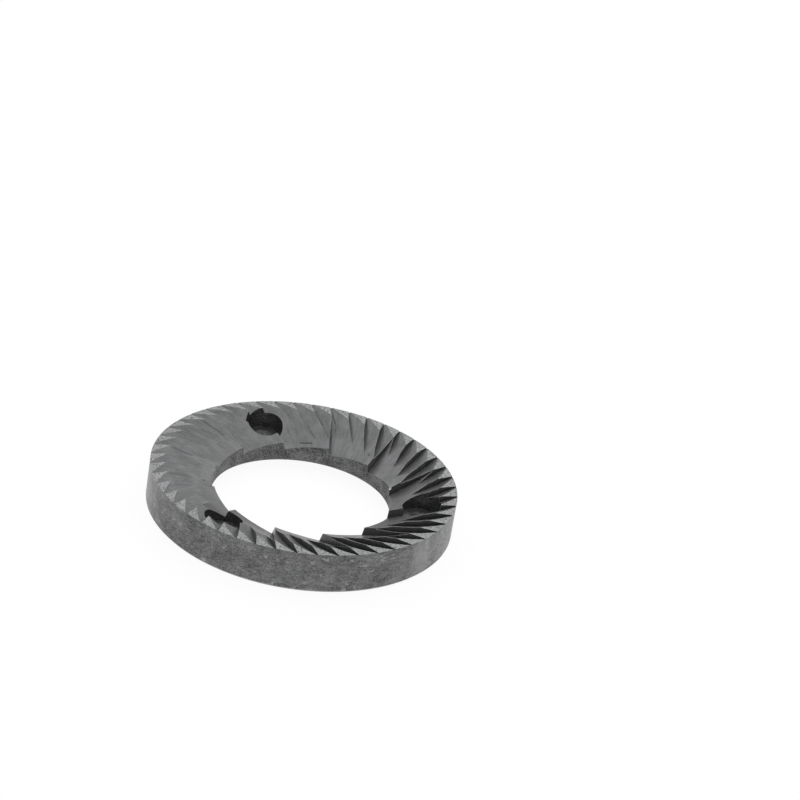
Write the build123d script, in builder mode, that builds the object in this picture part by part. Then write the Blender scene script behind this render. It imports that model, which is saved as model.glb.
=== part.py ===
"""Flat coffee grinder burr: one ring of hardened steel, toothed on top and recessed behind.

Millimetres and degrees. The origin is the centre of the back face, +Z points out through the teeth,
and the first screw hole lies on +X.
"""

import os
from math import acos, cos, degrees, radians, sin, sqrt, tan

from build123d import *

# Ring
OUTER_DIAMETER = 64.0
BORE_DIAMETER = 37.5
HEIGHT = 8.9

# Back: a ground ring round the rim stands proud of a turned recess
BACK_CHAMFER = 0.65
BACK_RING_WIDTH = 3.15
RECESS_DEPTH = 1.6
RECESS_CORNER_RADIUS = 0.4
BORE_CHAMFER = 0.5

# Screw holes, with the heads sunk below the teeth, on a circle a little inside the middle of the ring
SCREW_COUNT = 3
SCREW_HOLE_DIAMETER = 4.5
SCREW_HEAD_DIAMETER = 7.4
SCREW_HEAD_CLEARANCE = 0.3
SCREW_LAND = 2.7
SCREW_CIRCLE_INSET = 0.375

# Teeth: V grooves ground by a form wheel, so the floor of each is hollow
WHEEL_RADIUS = 42.0

# Coarse teeth: the grooves start inside the rim and run down to the bore
COARSE_TEETH = 12
COARSE_RIM_MARGIN = 3.15
COARSE_SLANT = 12.4
COARSE_WALL_LEAN = 17.1
COARSE_FLANK_ANGLE = 19.2
THROAT_DEPTH = 4.55

# Fine teeth: the grooves start at the rim and fade out on the coarse flanks
FINE_PER_COARSE = 4
FINE_RIM_OVERRUN = 0.5
FINE_SLANT = 22.3
FINE_WALL_LEAN = 20.0
FINE_FLANK_ANGLE = 28.0
FINE_DEPTH = 2.3

# Angles of the teeth about the axis: the fine ones from the first screw, the coarse ones from the fine
FINE_PHASE = 0.5
COARSE_LAG = 2.3

# How far a cutter stands clear of the steel where it enters and leaves
CUTTER_CLEARANCE = 0.5

OUTER_RADIUS = OUTER_DIAMETER / 2
BORE_RADIUS = BORE_DIAMETER / 2
RECESS_RADIUS = OUTER_RADIUS - BACK_CHAMFER - BACK_RING_WIDTH
SCREW_CIRCLE_RADIUS = (OUTER_RADIUS + BORE_RADIUS) / 2 - SCREW_CIRCLE_INSET
COUNTERBORE_RADIUS = SCREW_HEAD_DIAMETER / 2 + SCREW_HEAD_CLEARANCE
COUNTERBORE_DEPTH = HEIGHT - RECESS_DEPTH - SCREW_LAND
FINE_TEETH = COARSE_TEETH * FINE_PER_COARSE

# A groove's own frame has its origin where the root of the V leaves the land plane. The groove runs
# towards -X, the steep wall that carries the cutting edge is on its +Y side, and the flank on its -Y side.


def groove_section(height, wall_lean, flank_angle):
    """Corners of the V, from its root up to a height: the steep wall first, then the flank."""
    return [(0, 0), (height * tan(radians(wall_lean)), height), (-height / tan(radians(flank_angle)), height)]


def wheel_cutter(axle_back, depth, swing_in, wall_lean, flank_angle):
    """The lowest part of the form wheel: the V of a groove, swung about the wheel's axle.

    The axle stands behind the start of the groove, and the wheel sinks to a depth below the lands. The swing
    begins outside the ring, clear of the lands, and ends swing_in degrees past the wheel's lowest point.
    """
    rise = depth + CUTTER_CLEARANCE
    swing_out = degrees(acos(1 - rise / WHEEL_RADIUS))
    axle = (-axle_back, 0, WHEEL_RADIUS - depth)
    with BuildPart() as cutter:
        with BuildSketch(Plane(axle, x_dir=(0, 1, 0), z_dir=(1, 0, 0)).rotated((0, -swing_out, 0))):
            with BuildLine():
                section = groove_section(rise, wall_lean, flank_angle)
                Polyline([(side, height - WHEEL_RADIUS) for side, height in section], close=True)
            make_face()
        revolve(axis=Axis(axle, (0, 1, 0)), revolution_arc=swing_out + swing_in)
    return cutter.part


# Coarse cutter: the wheel's edge passes the start of the groove and the throat's depth at the bore
coarse_entry = OUTER_RADIUS - COARSE_RIM_MARGIN
coarse_offset = coarse_entry * sin(radians(COARSE_SLANT))
coarse_run = coarse_entry * cos(radians(COARSE_SLANT)) - sqrt(BORE_RADIUS**2 - coarse_offset**2)
chord = sqrt(coarse_run**2 + THROAT_DEPTH**2)
chord_to_axle = sqrt(WHEEL_RADIUS**2 - chord**2 / 4)
coarse_axle_back = coarse_run / 2 + chord_to_axle * THROAT_DEPTH / chord
coarse_sink = WHEEL_RADIUS + THROAT_DEPTH / 2 - chord_to_axle * coarse_run / chord
coarse_cutter = wheel_cutter(coarse_axle_back, coarse_sink, 0, COARSE_WALL_LEAN, COARSE_FLANK_ANGLE)

# Fine cutter: the wheel's edge rises out of the lands again inside the ring
fine_entry = OUTER_RADIUS + FINE_RIM_OVERRUN
fine_axle_back = sqrt(WHEEL_RADIUS**2 - (WHEEL_RADIUS - FINE_DEPTH) ** 2)
fine_swing = degrees(acos(1 - (FINE_DEPTH + CUTTER_CLEARANCE) / WHEEL_RADIUS))
fine_cutter = wheel_cutter(fine_axle_back, FINE_DEPTH, fine_swing, FINE_WALL_LEAN, FINE_FLANK_ANGLE)

# The burr: a turned blank, then the teeth, then the screw holes
with BuildPart() as burr:
    with BuildSketch(Plane.XZ) as blank:
        with BuildLine():
            Polyline(
                (BORE_RADIUS, HEIGHT),
                (BORE_RADIUS, RECESS_DEPTH + BORE_CHAMFER),
                (BORE_RADIUS + BORE_CHAMFER, RECESS_DEPTH),
                (RECESS_RADIUS, RECESS_DEPTH),
                (RECESS_RADIUS, 0),
                (OUTER_RADIUS - BACK_CHAMFER, 0),
                (OUTER_RADIUS, BACK_CHAMFER),
                (OUTER_RADIUS, HEIGHT),
                close=True,
            )
        make_face()
        recess_corner = blank.vertices().sort_by_distance((RECESS_RADIUS, RECESS_DEPTH))[0]
        fillet(recess_corner, RECESS_CORNER_RADIUS)
    revolve(axis=Axis.Z)
    with PolarLocations(coarse_entry, COARSE_TEETH, start_angle=FINE_PHASE - COARSE_LAG):
        with Locations(Location((0, 0, HEIGHT), (0, 0, COARSE_SLANT))):
            add(coarse_cutter, mode=Mode.SUBTRACT)
    with PolarLocations(fine_entry, FINE_TEETH, start_angle=FINE_PHASE):
        with Locations(Location((0, 0, HEIGHT), (0, 0, FINE_SLANT))):
            add(fine_cutter, mode=Mode.SUBTRACT)
    with Locations((0, 0, HEIGHT)):
        with PolarLocations(SCREW_CIRCLE_RADIUS, SCREW_COUNT):
            CounterBoreHole(SCREW_HOLE_DIAMETER / 2, COUNTERBORE_RADIUS, COUNTERBORE_DEPTH)

burr.part.label = "burr"
os.makedirs("parts", exist_ok=True)
export_step(burr.part, "parts/burr.step")
print("burr volume", round(burr.part.volume), "mm3, faces", len(burr.part.faces()), "valid", burr.part.is_valid)
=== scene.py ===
# %% [markdown]
# # A flat coffee grinder burr
#
# This lesson dresses one part: a ring of hardened steel with slanted teeth ground into its top. The packed
# CAD model comes in first, as a fixed frame that gives the part's place and size. The ring is then
# modelled again, finer, in the order in which a workshop makes it: a blank is turned, a form wheel grinds
# the coarse teeth and then the fine ones, and the screw sockets are bored. Each tool leaves its own finish
# on the steel.

# %% Load the fixed frame
from math import acos, cos, pi, radians, sin, sqrt, tan

import bpy
from mathutils import Matrix, Vector


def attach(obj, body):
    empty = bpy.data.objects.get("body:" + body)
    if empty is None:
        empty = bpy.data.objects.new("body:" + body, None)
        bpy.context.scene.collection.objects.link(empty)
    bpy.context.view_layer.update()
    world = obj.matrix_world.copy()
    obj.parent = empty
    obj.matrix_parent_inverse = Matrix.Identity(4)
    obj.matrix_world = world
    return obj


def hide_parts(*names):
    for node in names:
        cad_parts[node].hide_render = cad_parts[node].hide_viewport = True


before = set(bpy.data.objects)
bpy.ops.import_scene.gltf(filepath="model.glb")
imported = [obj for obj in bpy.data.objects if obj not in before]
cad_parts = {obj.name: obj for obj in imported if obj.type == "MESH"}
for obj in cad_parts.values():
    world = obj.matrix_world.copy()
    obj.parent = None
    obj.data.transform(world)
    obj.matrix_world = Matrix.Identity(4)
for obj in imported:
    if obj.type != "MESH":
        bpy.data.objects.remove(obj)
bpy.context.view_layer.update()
print("CAD nodes:", sorted(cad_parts))

# %% [markdown]
# ## Drawing an outline
#
# Most of the work starts from a flat outline: the section of the ring, or the V of a groove. By hand one
# would merge a plane into a single vertex and extrude that vertex from corner to corner, so the helper does
# just that. Operators act on all that is selected, so everything is deselected before each new piece.

# %% Helpers for outlines and selections
MM = 0.001
DOUBLED_WITHIN = 0.001 * MM


def start_clean():
    """Leave edit mode and deselect every object."""
    if bpy.context.object and bpy.context.object.mode != "OBJECT":
        bpy.ops.object.mode_set(mode="OBJECT")
    bpy.ops.object.select_all(action="DESELECT")


def trace(name, corners):
    """Draw a closed outline in edit mode, from corner to corner, and fill it with a face."""
    start_clean()
    bpy.ops.mesh.primitive_plane_add(size=MM)
    piece = bpy.context.object
    piece.name = piece.data.name = name
    bpy.ops.object.mode_set(mode="EDIT")
    bpy.ops.mesh.select_mode(type="VERT")
    bpy.ops.mesh.merge(type="CENTER")
    bpy.ops.transform.translate(value=corners[0])
    for here, there in zip(corners, corners[1:]):
        bpy.ops.mesh.extrude_region_move(TRANSFORM_OT_translate={"value": there - here})
    bpy.ops.mesh.select_all(action="SELECT")
    bpy.ops.mesh.edge_face_add()
    return piece


def select_faces(piece, wanted):
    """Select, in edit mode, the faces that wanted(centre, normal) picks."""
    bpy.ops.object.mode_set(mode="EDIT")
    bpy.ops.mesh.select_mode(type="FACE")
    bpy.ops.mesh.select_all(action="DESELECT")
    bpy.ops.object.mode_set(mode="OBJECT")
    for face in piece.data.polygons:
        face.select = wanted(face.center, face.normal)
    bpy.ops.object.mode_set(mode="EDIT")


def close_up(piece):
    """Merge doubled points, turn all faces outwards and leave edit mode."""
    bpy.ops.mesh.select_all(action="SELECT")
    bpy.ops.mesh.remove_doubles(threshold=DOUBLED_WITHIN)
    bpy.ops.mesh.normals_make_consistent(inside=False)
    bpy.ops.object.mode_set(mode="OBJECT")
    print(piece.name, "has", len(piece.data.polygons), "faces")


# %% [markdown]
# ## The turned blank
#
# On a lathe the ring is faced, bored and recessed at the back, and its corners are broken with a file. The
# section is drawn once and spun about the axis. A cylinder primitive with insets would also do, but the
# spun section keeps every turned size in one list of corners.

# %% Turn the blank
OUTER_RADIUS = 32.0 * MM
BORE_RADIUS = 18.75 * MM
HEIGHT = 8.9 * MM
BACK_CHAMFER = 0.65 * MM
RECESS_RADIUS = 28.2 * MM
RECESS_DEPTH = 1.6 * MM
RECESS_CORNER_RADIUS = 0.4 * MM
BORE_CHAMFER = 0.5 * MM
EDGE_BREAK = 0.08 * MM
TURNING_STEPS = 240

recess_corner = (RECESS_RADIUS, RECESS_DEPTH)
section = [
    (BORE_RADIUS, HEIGHT),
    (BORE_RADIUS, RECESS_DEPTH + BORE_CHAMFER),
    (BORE_RADIUS + BORE_CHAMFER, RECESS_DEPTH),
    recess_corner,
    (RECESS_RADIUS, 0),
    (OUTER_RADIUS - BACK_CHAMFER, 0),
    (OUTER_RADIUS, BACK_CHAMFER),
    (OUTER_RADIUS, HEIGHT),
]
burr = trace("burr_steel", [Vector((radius, 0, height)) for radius, height in section])
bpy.ops.mesh.delete(type="ONLY_FACE")


def round_corner(piece, corner, size, segments):
    """Bevel the one vertex of an outline that lies at a corner."""
    bpy.ops.mesh.select_mode(type="VERT")
    bpy.ops.mesh.select_all(action="DESELECT")
    bpy.ops.object.mode_set(mode="OBJECT")
    place = Vector((corner[0], 0, corner[1]))
    nearest = min(piece.data.vertices, key=lambda vertex: (vertex.co - place).length)
    nearest.select = True
    bpy.ops.object.mode_set(mode="EDIT")
    bpy.ops.mesh.bevel(offset=size, segments=segments, affect="VERTICES")


round_corner(burr, recess_corner, RECESS_CORNER_RADIUS, segments=5)
for corner in section[1:-1]:
    if corner != recess_corner:
        round_corner(burr, corner, EDGE_BREAK, segments=2)
bpy.ops.mesh.select_all(action="SELECT")
bpy.ops.mesh.spin(steps=TURNING_STEPS, angle=2 * pi, center=(0, 0, 0), axis=(0, 0, 1))
close_up(burr)

# %% [markdown]
# ## Shader maths
#
# A finish is a formula: a mask here, a little noise there. Wiring each Math node by hand hides the formula,
# so one small class wraps a socket and lets plain arithmetic add the nodes. Any other node comes from one
# method, which sets the node up first and then feeds its sockets.

# %% Shader sockets with arithmetic


class Wire:
    """An output socket of a finish's node tree."""

    def __init__(self, tree, socket=None):
        self.tree = tree
        self.socket = socket

    def node(self, kind, settings=None, sockets=None, output=0):
        """Add a node, set it up, feed its sockets with values or wires, and give back one output."""
        made = self.tree.nodes.new("ShaderNode" + kind)
        for name, value in (settings or {}).items():
            setattr(made, name, value)
        for name, value in (sockets or {}).items():
            if isinstance(value, Wire):
                self.tree.links.new(value.socket, made.inputs[name])
            else:
                made.inputs[name].default_value = value
        return Wire(self.tree, made.outputs[output]) if made.outputs else None

    def math(self, operation, *terms):
        return self.node("Math", {"operation": operation}, dict(enumerate(terms)))

    def __add__(self, other):
        return self.math("ADD", self, other)

    def __sub__(self, other):
        return self.math("SUBTRACT", self, other)

    def __mul__(self, other):
        return self.math("MULTIPLY", self, other)

    def __rsub__(self, other):
        return self.math("SUBTRACT", other, self)

    __radd__ = __add__

    def between(self, low, high):
        """0 below low, 1 above high, and a smooth step between them."""
        limits = {"Value": self, "From Min": low, "From Max": high}
        return self.node("MapRange", {"interpolation_type": "SMOOTHSTEP"}, limits)

    def blend(self, first, second):
        """Mix two colours, with this wire as the share of the second."""
        return self.node("Mix", {"data_type": "RGBA"}, {0: self, 6: first, 7: second}, output=2)


# %% [markdown]
# ## Places and patterns
#
# Every finish starts from the place on the part, in millimetres, so that sizes in a formula are real sizes.
# A few patterns come back in most finishes: noise, noise drawn out into streaks, the distance from the
# axis, a straight mark, and how open a place is to the air.

# %% Helpers for finishes


def grey(level):
    """A neutral steel colour, a trace cooler than pure grey."""
    return (level * 0.995, level, level * 1.008, 1.0)


def new_finish(name):
    """A material with an empty tree, and a wire that carries the place on the part in millimetres."""
    material = bpy.data.materials.new(name)
    material.use_nodes = True
    material.node_tree.nodes.clear()
    place = Wire(material.node_tree).node("TexCoord", output="Object")
    millimetres = place.node("VectorMath", {"operation": "SCALE"}, {0: place, "Scale": 1 / MM})
    return material, millimetres


def stretch(place, x, y, z):
    """The place, scaled along each axis, so that noise on it is drawn out into streaks."""
    return place.node("VectorMath", {"operation": "MULTIPLY"}, {0: place, 1: (x, y, z)})


def distance_from_axis(place):
    across = stretch(place, 1, 1, 0)
    return across.node("VectorMath", {"operation": "LENGTH"}, {0: across}, output="Value")


def noise(place, scale, detail=3.0, roughness=0.55):
    sockets = {"Vector": place, "Scale": scale, "Detail": detail, "Roughness": roughness}
    return place.node("TexNoise", {"normalize": True}, sockets)


def mark(place, start, end, width):
    """1 on a straight line between two places, fading to 0 at a width from it, all in millimetres."""
    reach = Vector(end) - Vector(start)
    offset = place.node("VectorMath", {"operation": "SUBTRACT"}, {0: place, 1: start})
    toward_end = {0: offset, 1: reach / reach.length_squared}
    along = place.node("VectorMath", {"operation": "DOT_PRODUCT"}, toward_end, output="Value")
    share = place.node("Clamp", sockets={"Value": along})
    nearest = place.node("VectorMath", {"operation": "SCALE"}, {0: reach, "Scale": share})
    gap = place.node("VectorMath", {"operation": "DISTANCE"}, {0: offset, 1: nearest}, output="Value")
    full_within = width * 0.3
    return 1 - gap.between(full_within, width)


def open_air(place, reach, samples):
    """1 in the open, and less where other steel stands within a reach."""
    return place.node("AmbientOcclusion", {"samples": samples}, {"Distance": reach}, output="AO")


# %% [markdown]
# ## Edges that catch the light
#
# No real edge is perfectly sharp. A Bevel node rounds the normals within about a tenth of a millimetre of
# an edge, and where the rounded normal leaves the true one the edge is painted brighter: partly a painted
# highlight, partly rubbed steel. The roots of the grooves turn the normal too, but nothing rubs there and
# they get no painted highlight: an Ambient Occlusion node tells them from the open edges. Bevelling the
# mesh would give the same, but the shallow corners where the grooves run out would tangle.

# %% Finish a steel surface
EDGE_RADIUS = 0.12 * MM
ROOT_REACH = 0.5 * MM
HIGHLIGHT_AND_RUBBED_STEEL = grey(0.5)


def finish_steel(material, place, colour, roughness, height, depth, edge_light, metallic=1.0):
    """Join a colour, a roughness and a height into one steel shader with a painted highlight on its rubbed
    edges.
    """
    rounded = place.node("Bevel", {"samples": 6}, {"Radius": EDGE_RADIUS})
    true = place.node("NewGeometry", output="Normal")
    turned = place.node("VectorMath", {"operation": "DOT_PRODUCT"}, {0: rounded, 1: true}, output="Value")
    at_edge = (1 - turned).between(0.02, 0.25)
    out_of_root = open_air(place, ROOT_REACH, samples=6).between(0.55, 0.85)
    # Painted highlight: open edges are painted paler, which also stands for rubbed steel.
    edge_highlight_and_rubbing = at_edge * out_of_root * edge_light
    normal = place.node("Bump", sockets={"Height": height, "Distance": depth, "Normal": rounded})
    sockets = {
        "Base Color": edge_highlight_and_rubbing.blend(colour, HIGHLIGHT_AND_RUBBED_STEEL),
        "Roughness": roughness - edge_highlight_and_rubbing * 0.1,
        "Metallic": metallic,
        "Normal": normal,
    }
    shader = place.node("BsdfPrincipled", sockets=sockets)
    place.node("OutputMaterial", sockets={"Surface": shader})
    print("finish:", material.name, len(material.node_tree.nodes), "nodes")


# %% [markdown]
# ## Finishes of the blank
#
# The rim is turned and then darkened by heat treatment, so it is mottled, with short pale lines round it and
# one paler upright band on its front right side. The bore is rougher. The recess keeps the darkest scale,
# with faint rings from the lathe. Only the top and the ring at the back are ground flat: they are pale, and
# specked where the scale's pits run deeper.

# %% Turned rim
rim_finish, place = new_finish("turned_rim")
patches = noise(place, 0.16, 4.0)
mottle = noise(stretch(place, 0.7, 0.7, 1.6), 1.0, 5.0, 0.7)
grain = noise(stretch(place, 3.4, 3.4, 5.0), 1.0, 3.0, 0.7)
waves = noise(stretch(place, 0.14, 0.14, 0.8), 1.0, 1.0)
on_line = 1 - waves.math("ABSOLUTE", waves - 0.5).between(0.005, 0.04)
dashes = on_line * noise(place, 0.5, 2.0).between(0.54, 0.62)
flecks = noise(place, 2.8, 2.0, 0.5).between(0.68, 0.74)
pale_band = mark(place, (27.6, -16.2, 2.5), (27.6, -16.2, 7.5), 4.5)
clouding = patches.between(0.3, 0.7) * 0.25 + mottle.between(0.34, 0.66) * 0.3
tone = clouding + grain.between(0.36, 0.64) * 0.45
bright = dashes.math("MAXIMUM", dashes, flecks) * 0.55
skin = (tone + pale_band * 0.4).blend(grey(0.04), grey(0.262))
colour = bright.blend(skin, grey(0.38))
roughness = 0.40 - tone * 0.10
height = mottle * 0.4 + grain * 0.5 + bright * 0.3
finish_steel(rim_finish, place, colour, roughness, height, depth=0.02 * MM, edge_light=0.6)

# %% Bored wall
bore_finish, place = new_finish("bored_wall")
grain = noise(place, 3.4, 5.0, 0.7)
patches = noise(place, 0.35, 3.0)
scores = noise(stretch(place, 0.5, 0.5, 5.0), 1.0, 2.0)
tone = grain.between(0.36, 0.64) * 0.65 + patches.between(0.3, 0.7) * 0.35
colour = tone.blend(grey(0.036), grey(0.265))
roughness = 0.58 - tone * 0.1
height = grain + scores * 0.5
finish_steel(bore_finish, place, colour, roughness, height, depth=0.05 * MM, edge_light=0.5)

# %% Scaled recess
recess_finish, place = new_finish("scaled_recess")
along_radius = {"W": distance_from_axis(place), "Scale": 3.0, "Detail": 3.0}
rings = place.node("TexNoise", {"noise_dimensions": "1D"}, along_radius)
blotches = noise(place, 0.22, 5.0, 0.6)
specks = noise(place, 2.2, 3.0).between(0.66, 0.78)
tone = blotches.between(0.25, 0.75) * 0.7 + rings * 0.3
colour = specks.blend(tone.blend(grey(0.062), grey(0.115)), grey(0.035))
roughness = 0.5 - tone * 0.1
height = rings * 0.5 + blotches * 0.4
finish_steel(recess_finish, place, colour, roughness, height, depth=0.02 * MM, edge_light=0.6)

# %% Ground faces
GRINDING_TURN = radians(35)

ground_finish, place = new_finish("ground_face")
turned_place = {"Vector": place, "Angle": GRINDING_TURN}
swept = place.node("VectorRotate", {"rotation_type": "Z_AXIS"}, turned_place)
lines = noise(stretch(swept, 0.35, 7.0, 1.0), 1.0, 3.0)
clouds = noise(place, 0.5, 3.0)
grain = noise(place, 3.2, 3.0, 0.65)
scattered = {"Vector": place, "Scale": 1.25}
spots = place.node("TexVoronoi", {"voronoi_dimensions": "2D"}, scattered, output="Distance")
ragged = noise(place, 2.6, 3.0, 0.6)
pits = 1 - (spots * 0.8 + ragged * 0.6).between(0.35, 0.46)
tone = clouds.between(0.25, 0.75) * 0.25 + lines * 0.2 + grain.between(0.38, 0.62) * 0.55
colour = pits.blend(tone.blend(grey(0.105), grey(0.26)), grey(0.04))
roughness = 0.40 + pits * 0.25 - lines * 0.08
height = lines * 0.3 + grain * 0.2 - pits
finish_steel(ground_finish, place, colour, roughness, height, depth=0.03 * MM, edge_light=0.9)

# %% Dress the blank
TOLERANCE = 0.01 * MM
LEVEL = 0.99

for finish in (rim_finish, bore_finish, recess_finish, ground_finish):
    burr.data.materials.append(finish)


def give_finish(piece, finish, wanted):
    """Put a finish on the faces that wanted(centre, normal) picks."""
    select_faces(piece, wanted)
    piece.active_material_index = piece.data.materials.find(finish.name)
    bpy.ops.object.material_slot_assign()
    bpy.ops.object.mode_set(mode="OBJECT")
    worn = [face for face in piece.data.polygons if face.material_index == piece.active_material_index]
    print(finish.name, "covers", len(worn), "faces")


def in_bore(centre, normal):
    return centre.xy.length < BORE_RADIUS + TOLERANCE


def in_recess(centre, normal):
    low = centre.z < RECESS_DEPTH + BORE_CHAMFER
    return low and BORE_RADIUS + TOLERANCE < centre.xy.length < RECESS_RADIUS + TOLERANCE


def on_ground_face(centre, normal):
    return abs(normal.z) > LEVEL and not MM < centre.z < HEIGHT - MM


give_finish(burr, bore_finish, in_bore)
give_finish(burr, recess_finish, in_recess)
give_finish(burr, ground_finish, on_ground_face)

# %% [markdown]
# ## Finishes of the teeth
#
# The flanks are ground and then heat treated: a satin grey, drawn out along the grooves. The grooves lie at
# a slant all round, so the place is first turned about the axis by an angle that grows with the radius.
# Streaks along the radius then follow the grooves, with no seam anywhere.

# %% Steel of the flanks
RING_MIDDLE = 25.0
SPIRAL_TURN = -0.0125
STREAK_SHRINK = 0.12

flank_finish, place = new_finish("ground_flank")
radius = distance_from_axis(place)
turned_place = {"Vector": stretch(place, 1, 1, 0), "Angle": (radius - RING_MIDDLE) * SPIRAL_TURN}
spiral = place.node("VectorRotate", {"rotation_type": "Z_AXIS"}, turned_place)
spoke = spiral.node("VectorMath", {"operation": "NORMALIZE"}, {0: spiral})
bearing = spoke.node("VectorMath", {"operation": "SCALE"}, {0: spoke, "Scale": RING_MIDDLE})
outward = place.node("CombineXYZ", sockets={"Z": radius * STREAK_SHRINK})
along = bearing.node("VectorMath", {"operation": "ADD"}, {0: bearing, 1: outward})
streaks = noise(along, 2.4, 4.0, 0.6)
clouds = noise(place, 0.3, 4.0)
grain = noise(place, 5.0, 3.0, 0.6)
specks = noise(place, 1.9, 2.0, 0.5).between(0.70, 0.78)
clouding = clouds.between(0.3, 0.7) * 0.35 + streaks.between(0.35, 0.65) * 0.3
tone = clouding + grain.between(0.35, 0.65) * 0.35

# %% [markdown]
# The roots of the grooves are painted darker where occlusion is deep: painted shade. Use has left a nick,
# two spots of dirt and a few smudges. Dark lines along some of the edges are partly painted shade of the
# roots seen past them, partly dark scale. Each is a short straight mark, so two places and a width are
# enough for it.

# %% Marks on the flanks
NICK = ((-3.94, 19.57, 5.57), (-1.6, 19.8, 5.85))
SPOTS = [
    ((11.0, 18.2, 6.7), (11.0, 18.3, 6.7)),
    ((-19.9, -5.1, 5.6), (-19.9, -5.0, 5.6)),
]
# Ends of dark lines along some edges: partly painted shade of the roots behind, partly dark scale.
EDGE_SHADE_AND_SCALE_LINES = [
    ((-24.5, 14.6, 8.68), (-19.64, 13.07, 7.18)),
    ((-28.4, 0.6, 8.65), (-24.0, 1.42, 7.3)),
    ((-26.3, -10.2, 8.6), (-22.2, -6.8, 6.7)),
    ((-24.4, -13.9, 8.4), (-17.9, -8.1, 6.25)),
    ((-5.9, 26.9, 8.5), (-1.3, 21.2, 6.6)),
    ((-3.1, 30.2, 8.2), (-0.8, 26.3, 7.3)),
    ((-0.8, 26.3, 7.3), (1.3, 22.5, 6.74)),
    ((0.7, 30.7, 8.4), (1.8, 27.9, 7.58)),
    ((1.8, 27.9, 7.58), (2.6, 24.9, 7.05)),
]
WIDE_SMUDGE = ((-1.0, 28.2, 8.0), (1.4, 23.1, 7.0))
NARROW_SMUDGE = ((-6.7, 24.8, 7.3), (-5.0, 21.7, 6.5))

nick = mark(place, *NICK, width=0.34)
spots = sum(mark(place, *ends, width=0.4) for ends in SPOTS)
# Dark edge lines: partly painted shade, partly dark scale.
edge_shade_and_scale_lines = sum(mark(place, *ends, width=0.32) for ends in EDGE_SHADE_AND_SCALE_LINES)
smudges = mark(place, *WIDE_SMUDGE, width=1.6) + mark(place, *NARROW_SMUDGE, width=0.6)
# The stains include the dark edge lines, which are partly painted shade.
stains_and_edge_shade = (nick + spots + edge_shade_and_scale_lines * 0.55 + smudges * 0.25) * 0.85
# Painted shade: the flanks darken where occlusion is deep, towards the roots.
painted_root_shade = (1 - open_air(place, ROOT_REACH, samples=8).between(0.35, 0.75)) * 0.6
dark = painted_root_shade.math("MAXIMUM", painted_root_shade, specks * 0.5)
dark = dark.math("MAXIMUM", dark, stains_and_edge_shade)
colour = dark.blend(tone.blend(grey(0.068), grey(0.154)), grey(0.025))
roughness = 0.40 - tone * 0.1
height = streaks * 0.5 + grain * 0.5 - specks
finish_steel(flank_finish, place, colour, roughness, height, 0.009 * MM, edge_light=0.3, metallic=0.5)

# %% [markdown]
# The steep walls under the cutting edges are painted dark where other steel stands near them: painted
# shade. They are a little paler towards the bore, where the beans pass.

# %% Walls in painted shade
WALL_SHADE_REACH = 1.2 * MM

shaded_wall_finish, place = new_finish("wall_in_painted_shade")
near_bore = 1 - distance_from_axis(place).between(19.0, 27.0)
blotches = noise(place, 0.9, 4.0, 0.6)
grain = noise(place, 5.0, 3.0, 0.6)
# Painted shade: the walls' colour drops towards black where occlusion is deep.
out_of_painted_shade = open_air(place, WALL_SHADE_REACH, samples=8).between(0.5, 0.95)
tone = out_of_painted_shade * 0.45 + near_bore * 0.25 + blotches.between(0.3, 0.7) * 0.2 + grain * 0.1
colour = tone.blend(grey(0.028), grey(0.2))
roughness = 0.42 - tone * 0.08
finish_steel(shaded_wall_finish, place, colour, roughness, grain, depth=0.012 * MM, edge_light=0.9)

# %% [markdown]
# ## Coarse teeth
#
# All the teeth are left standing between V grooves, ground by one form wheel, so each groove has a hollow
# floor. A groove has its own frame: it starts at the origin, where the wheel enters the top of the ring, and
# runs towards -X, with the steep cutting wall at +Y. The V is drawn at the wheel's edge and spun about the
# wheel's axle, but only through the part of a turn that touches the ring: whole wheels would be many more
# faces to cut. Twelve coarse grooves start inside the rim and deepen to the bore.

# %% Groove frames and wheel cutters
WHEEL_RADIUS = 42.0 * MM
WHEEL_CLEARANCE = 0.5 * MM
WHEEL_FACET = radians(1.8)
WALL_FACING = 0.8


def groove_frame(entry_radius, slant, phase):
    """Where a groove lies: its origin is where the root of the V leaves the top of the ring."""
    turn = Matrix.Rotation(radians(phase), 4, "Z")
    slide = Matrix.Translation((entry_radius, 0, HEIGHT))
    return turn @ slide @ Matrix.Rotation(radians(slant), 4, "Z")


def groove_section(height, wall_lean, flank_angle):
    """Corners of the V: its root, the top of the steep wall and the top of the flank."""
    wall = Vector((0, height * tan(radians(wall_lean)), height))
    flank = Vector((0, -height / tan(radians(flank_angle)), height))
    return [Vector((0, 0, 0)), wall, flank]


def copy_round(count):
    """Copy what is being edited round the axis of the ring, up to a count."""
    bpy.ops.mesh.select_all(action="SELECT")
    turn = 2 * pi * (count - 1) / count
    bpy.ops.mesh.spin(steps=count - 1, dupli=True, angle=turn, center=(0, 0, 0), axis=(0, 0, 1))


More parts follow.
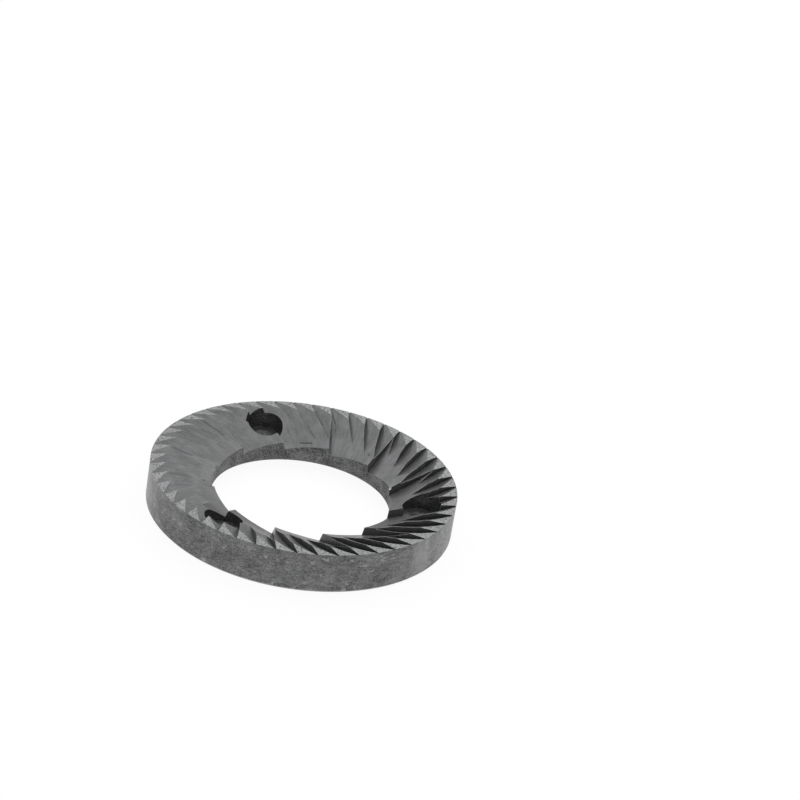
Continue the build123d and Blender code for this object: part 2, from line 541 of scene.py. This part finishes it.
def wheel_cutters(name, groove, axle_back, sink, swing_in, wall_lean, flank_angle, count):
    """Swing the V about an axle behind the groove's start.

    It begins clear of the ring, outside, and ends swing_in past the wheel's lowest point.
    """
    rise = sink + WHEEL_CLEARANCE
    swing_out = acos(1 - rise / WHEEL_RADIUS)
    axle = Vector((-axle_back, 0, WHEEL_RADIUS - sink))
    swung_out = Matrix.Rotation(-swing_out, 3, "Y")
    to_edge = Vector((0, 0, WHEEL_RADIUS))
    edge = [corner - to_edge for corner in groove_section(rise, wall_lean, flank_angle)]
    cutters = trace(name, [groove @ (axle + swung_out @ corner) for corner in edge])
    swing = swing_out + swing_in
    axle_line = groove.to_3x3() @ Vector((0, -1, 0))
    steps = round(swing / WHEEL_FACET)
    bpy.ops.mesh.spin(steps=steps, angle=swing, center=groove @ axle, axis=axle_line)
    close_up(cutters)
    for finish in (flank_finish, shaded_wall_finish):
        cutters.data.materials.append(finish)
    wall_side = groove.to_3x3() @ Vector((0, 1, 0))
    give_finish(cutters, shaded_wall_finish, lambda centre, normal: normal.dot(wall_side) > WALL_FACING)
    bpy.ops.object.mode_set(mode="EDIT")
    copy_round(count)
    close_up(cutters)
    return cutters


# %% Coarse cutters
FINE_PHASE = 0.5
COARSE_LAG = 2.3
COARSE_TEETH = 12
COARSE_RIM_MARGIN = 3.15 * MM
COARSE_SLANT = 12.4
COARSE_WALL_LEAN = 17.1
COARSE_FLANK_ANGLE = 19.2
THROAT_DEPTH = 4.55 * MM

entry = OUTER_RADIUS - COARSE_RIM_MARGIN
sideways = entry * sin(radians(COARSE_SLANT))
run = entry * cos(radians(COARSE_SLANT)) - sqrt(BORE_RADIUS**2 - sideways**2)
chord = sqrt(run**2 + THROAT_DEPTH**2)
chord_to_axle = sqrt(WHEEL_RADIUS**2 - chord**2 / 4)
coarse_cutters = wheel_cutters(
    "coarse_cutters",
    groove_frame(entry, COARSE_SLANT, FINE_PHASE - COARSE_LAG),
    axle_back=run / 2 + chord_to_axle * THROAT_DEPTH / chord,
    sink=WHEEL_RADIUS + THROAT_DEPTH / 2 - chord_to_axle * run / chord,
    swing_in=0,
    wall_lean=COARSE_WALL_LEAN,
    flank_angle=COARSE_FLANK_ANGLE,
    count=COARSE_TEETH,
)

# %% [markdown]
# ## Fine teeth
#
# Forty-eight fine grooves do the last of the grinding. The same wheel sinks in less deep, so it enters at
# the rim and rises out again on the coarse flanks.

# %% Fine cutters
FINE_TEETH = 48
FINE_RIM_OVERRUN = 0.5 * MM
FINE_SLANT = 22.3
FINE_WALL_LEAN = 20.0
FINE_FLANK_ANGLE = 28.0
FINE_DEPTH = 2.3 * MM

fine_cutters = wheel_cutters(
    "fine_cutters",
    groove_frame(OUTER_RADIUS + FINE_RIM_OVERRUN, FINE_SLANT, FINE_PHASE),
    axle_back=sqrt(WHEEL_RADIUS**2 - (WHEEL_RADIUS - FINE_DEPTH) ** 2),
    sink=FINE_DEPTH,
    swing_in=acos(1 - (FINE_DEPTH + WHEEL_CLEARANCE) / WHEEL_RADIUS),
    wall_lean=FINE_WALL_LEAN,
    flank_angle=FINE_FLANK_ANGLE,
    count=FINE_TEETH,
)

# %% [markdown]
# ## Screw sockets
#
# Three screws hold the burr, with their heads sunk below the teeth. One plug has the form of the hole: a
# cylinder for the head, whose lower face is inset to the size of the screw and pushed on through the back.

# %% Socket cutters
SCREW_COUNT = 3
SCREW_CIRCLE_RADIUS = 25.0 * MM
SOCKET_RADIUS = 4.0 * MM
SOCKET_FLOOR = 4.3 * MM
SCREW_HOLE_RADIUS = 2.25 * MM

start_clean()
bpy.ops.mesh.primitive_cylinder_add(
    vertices=80,
    radius=SOCKET_RADIUS,
    depth=HEIGHT,
    location=(SCREW_CIRCLE_RADIUS, 0, SOCKET_FLOOR + HEIGHT / 2),
)
socket_cutters = bpy.context.object
socket_cutters.name = "socket_cutters"
bpy.ops.object.transform_apply(location=True)
select_faces(socket_cutters, lambda centre, normal: normal.z < -LEVEL)
bpy.ops.mesh.inset(thickness=SOCKET_RADIUS - SCREW_HOLE_RADIUS)
bpy.ops.mesh.extrude_region_move(TRANSFORM_OT_translate={"value": (0, 0, -HEIGHT)})
copy_round(SCREW_COUNT)
close_up(socket_cutters)

# %% Finish of the sockets
socket_finish, place = new_finish("bored_socket")
scores = noise(stretch(place, 0.6, 0.6, 5.0), 1.0, 3.0)
blotches = noise(place, 1.7, 4.0, 0.65)
tone = scores.between(0.3, 0.7) * 0.4 + blotches.between(0.3, 0.7) * 0.6
colour = tone.blend(grey(0.07), grey(0.26))
roughness = 0.55 - tone * 0.1
finish_steel(socket_finish, place, colour, roughness, scores, depth=0.03 * MM, edge_light=0.6)
socket_cutters.data.materials.append(socket_finish)

# %% [markdown]
# ## Chips
#
# Stones among the beans have knocked two small chips out of the edge of the bore. A small sphere bites each
# one out, and the fresh steel in it is brighter than the old skin around it.

# %% Chip cutters
CHIP_RADIUS = 0.38 * MM
CHIP_PLACES = [(-18.8, 0.7, 5.4), (17.35, 7.3, 5.85)]

chip_finish, place = new_finish("fresh_chip")
grain = noise(place, 4.0, 3.0, 0.6)
colour = grain.blend(grey(0.6), grey(0.9))
roughness = 0.45 - grain * 0.1
finish_steel(chip_finish, place, colour, roughness, grain, depth=0.03 * MM, edge_light=0.5)

chips = []
for knocked in CHIP_PLACES:
    start_clean()
    bpy.ops.mesh.primitive_ico_sphere_add(subdivisions=2, radius=CHIP_RADIUS, location=Vector(knocked) * MM)
    chips.append(bpy.context.object)
for chip in chips:
    chip.select_set(True)
bpy.ops.object.join()
bpy.ops.object.transform_apply(location=True)
chip_cutters = bpy.context.object
chip_cutters.name = "chip_cutters"
chip_cutters.data.materials.append(chip_finish)

# %% [markdown]
# ## Cutting the blank
#
# A Boolean modifier takes each set of cutters away, in the workshop's order. The cutters of a set cross each
# other, so the exact solver looks at self-crossings too. With materials transferred, each cut face takes the
# finish of the tool that made it, as the real steel does.

# %% Cut teeth and sockets
for cutters in (coarse_cutters, fine_cutters, socket_cutters, chip_cutters):
    start_clean()
    burr.select_set(True)
    bpy.context.view_layer.objects.active = burr
    cut = burr.modifiers.new("cut", "BOOLEAN")
    cut.object = cutters
    cut.operation = "DIFFERENCE"
    cut.solver = "EXACT"
    cut.use_self = True
    cut.material_mode = "TRANSFER"
    bpy.ops.object.modifier_apply(modifier=cut.name)
    print("after", cutters.name, "the burr has", len(burr.data.polygons), "faces")
    bpy.data.objects.remove(cutters)

# %% [markdown]
# ## Clean mesh and true shading
#
# The cuts leave a few doubled points, which are merged. Facets of the turned, bored and wheel-cut surfaces
# meet at less than five degrees and are shaded smooth. Real edges are sharper than that and stay crisp.

# %% Merge and shade
CUT_TOLERANCE = 0.004 * MM
SMOOTH_BELOW = radians(5)

bpy.ops.object.mode_set(mode="EDIT")
bpy.ops.mesh.select_all(action="SELECT")
bpy.ops.mesh.remove_doubles(threshold=CUT_TOLERANCE)
bpy.ops.mesh.dissolve_degenerate(threshold=CUT_TOLERANCE)
bpy.ops.object.mode_set(mode="OBJECT")
bpy.ops.object.shade_smooth_by_angle(angle=SMOOTH_BELOW)
print("burr:", len(burr.data.vertices), "points,", [slot.name for slot in burr.material_slots])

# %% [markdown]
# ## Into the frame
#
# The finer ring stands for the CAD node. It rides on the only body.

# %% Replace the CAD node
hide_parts("burr")
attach(burr, "root")

# %% [markdown]
# ## Studio
#
# The burr lies on a white sweep under one large, soft light, above and behind it. The room on the camera's
# side is dim, so the walls that face the camera stay dark. The floor is white to the camera and in
# reflections, and a share of it stays plain paint, so that the burr keeps a soft shadow.

# %% Floor
FLOOR_SIZE = 6.0
WHITE_SHARE = 0.94

start_clean()
bpy.ops.mesh.primitive_plane_add(size=FLOOR_SIZE)
floor = bpy.context.object
floor.name = "floor"
floor_paint = bpy.data.materials.new("floor_paint")
floor_paint.use_nodes = True
floor_paint.node_tree.nodes.clear()
tree = Wire(floor_paint.node_tree)
camera_ray = tree.node("LightPath", output="Is Camera Ray")
glossy_ray = tree.node("LightPath", output="Is Glossy Ray")
seen = camera_ray.math("MAXIMUM", camera_ray, glossy_ray)
paint = tree.node("BsdfDiffuse", sockets={"Color": (0.95, 0.95, 0.95, 1.0)})
white = tree.node("Emission", sockets={"Color": (1.0, 1.0, 1.0, 1.0), "Strength": 1.0})
surface = tree.node("MixShader", sockets={0: seen * WHITE_SHARE, 1: paint, 2: white})
tree.node("OutputMaterial", sockets={"Surface": surface})
floor.data.materials.append(floor_paint)

# %% Light
LIGHT_FROM = Vector((0.0, 0.45, 0.893))
LIGHT_STRENGTH = 1.94
DIM_ROOM = grey(0.14)
FULL_LIGHT = grey(1.0)

world = bpy.data.worlds.new("studio")
bpy.context.scene.world = world
world.use_nodes = True
world.node_tree.nodes.clear()
studio = Wire(world.node_tree)
heading = studio.node("TexCoord", output="Generated")
to_light = {0: heading, 1: LIGHT_FROM}
toward = studio.node("VectorMath", {"operation": "DOT_PRODUCT"}, to_light, output="Value")
glow = toward.between(0.36, 0.92).blend(DIM_ROOM, FULL_LIGHT)
background = studio.node("Background", sockets={"Color": glow, "Strength": LIGHT_STRENGTH})
studio.node("OutputWorld", sockets={"Surface": background})

# %% [markdown]
# ## Camera
#
# The camera looks down at the ring from a little over half a metre with a long lens. Its place was worked
# out from the ellipses of the rim and the bore, and its small roll from their tilt in the picture. It was
# then moved a little, so that the front teeth and the outline meet the picture about equally well.

# %% Camera
AIM = Vector((12.584, 59.781, 0.0)) * MM
DISTANCE = 646.65 * MM
ELEVATION = radians(26.82)
AZIMUTH = radians(4.1)
ROLL = radians(9.709)

camera = bpy.data.objects.new("camera", bpy.data.cameras.new("camera"))
bpy.context.scene.collection.objects.link(camera)
bpy.context.scene.camera = camera
camera.data.sensor_width = 36.0
camera.data.lens = 128.5
camera.data.clip_start = 0.01
level = Matrix.Rotation(AZIMUTH, 4, "Z") @ Matrix.Rotation(pi / 2 - ELEVATION, 4, "X")
drawn_back = Matrix.Translation((0, 0, DISTANCE)) @ Matrix.Rotation(ROLL, 4, "Z")
camera.matrix_world = Matrix.Translation(AIM) @ level @ drawn_back
bpy.context.scene.view_settings.view_transform = "Standard"
print("camera at", [round(value, 4) for value in camera.matrix_world.translation])

# %% [markdown]
# ## Size
#
# The dressed part must stay inside the CAD model's box.

# %% Update the scene
bpy.context.view_layer.update()
